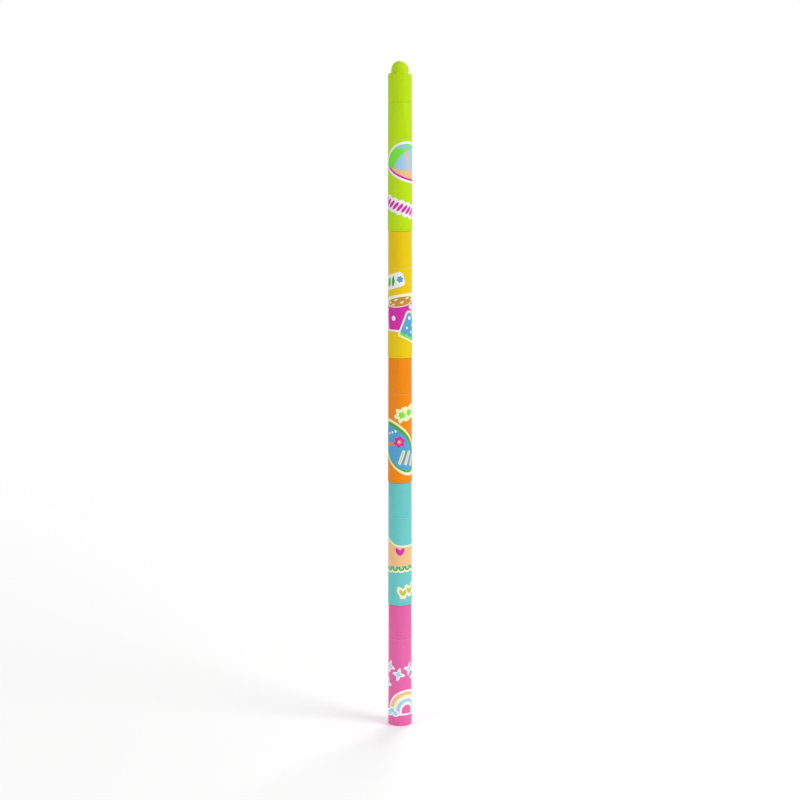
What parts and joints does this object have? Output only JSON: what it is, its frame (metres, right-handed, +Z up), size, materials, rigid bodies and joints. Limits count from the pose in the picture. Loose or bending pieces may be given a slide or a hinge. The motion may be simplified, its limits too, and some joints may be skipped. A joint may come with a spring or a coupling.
{
  "type": "stackable highlighter",
  "caption": "Slim highlighter wand made of plug-together colour units with hollow lower ends, printed sleeves and a domed cap.",
  "frame": {"origin": "centre of the lowest unit's open lower rim, on the surface the wand stands on", "axes": "+Z up along the wand's axis, towards the domed cap; -Y towards the front of the printed sleeves; each nib's writing edge runs along X and its high corner is at -X"},
  "size_m": [0.01, 0.01, 0.2762],
  "materials": {
    "pink_plastic": "satin moulded",
    "turquoise_plastic": "satin moulded",
    "orange_plastic": "satin moulded",
    "yellow_plastic": "satin moulded",
    "lime_plastic": "satin moulded",
    "pink_label": "printed film",
    "turquoise_label": "printed film",
    "orange_label": "printed film",
    "yellow_label": "printed film",
    "lime_label": "printed film",
    "pink_felt": "ink-soaked polyester fibre",
    "turquoise_felt": "ink-soaked polyester fibre",
    "orange_felt": "ink-soaked polyester fibre",
    "yellow_felt": "ink-soaked polyester fibre",
    "lime_felt": "ink-soaked polyester fibre",
    "soft_plastic": "natural soft polyethylene"
  },
  "bodies": {
    "pink_unit": {"pink_barrel": "pink_plastic", "pink_label_sleeve": "pink_label", "pink_nib_holder": "pink_plastic", "pink_nib": "pink_felt", "pink_reservoir": "pink_felt", "pink_inner_cap": "soft_plastic"},
    "turquoise_unit": {"turquoise_barrel": "turquoise_plastic", "turquoise_label_sleeve": "turquoise_label", "turquoise_nib_holder": "turquoise_plastic", "turquoise_nib": "turquoise_felt", "turquoise_reservoir": "turquoise_felt", "turquoise_inner_cap": "soft_plastic"},
    "orange_unit": {"orange_barrel": "orange_plastic", "orange_label_sleeve": "orange_label", "orange_nib_holder": "orange_plastic", "orange_nib": "orange_felt", "orange_reservoir": "orange_felt", "orange_inner_cap": "soft_plastic"},
    "yellow_unit": {"yellow_barrel": "yellow_plastic", "yellow_label_sleeve": "yellow_label", "yellow_nib_holder": "yellow_plastic", "yellow_nib": "yellow_felt", "yellow_reservoir": "yellow_felt", "yellow_inner_cap": "soft_plastic"},
    "lime_unit": {"lime_barrel": "lime_plastic", "lime_label_sleeve": "lime_label", "lime_nib_holder": "lime_plastic", "lime_nib": "lime_felt", "lime_reservoir": "lime_felt", "lime_inner_cap": "soft_plastic"},
    "cap": {"cap": "lime_plastic", "cap_liner": "soft_plastic"}
  },
  "joints": [
    {"name": "turquoise_pull", "type": "slide", "parent": "pink_unit", "child": "turquoise_unit", "axis": [0, 0, 1], "range_m": [0, 0.024]},
    {"name": "orange_pull", "type": "slide", "parent": "turquoise_unit", "child": "orange_unit", "axis": [0, 0, 1], "range_m": [0, 0.024]},
    {"name": "yellow_pull", "type": "slide", "parent": "orange_unit", "child": "yellow_unit", "axis": [0, 0, 1], "range_m": [0, 0.024]},
    {"name": "lime_pull", "type": "slide", "parent": "yellow_unit", "child": "lime_unit", "axis": [0, 0, 1], "range_m": [0, 0.024]},
    {"name": "cap_pull", "type": "slide", "parent": "lime_unit", "child": "cap", "axis": [0, 0, 1], "range_m": [0, 0.024]}
  ]
}
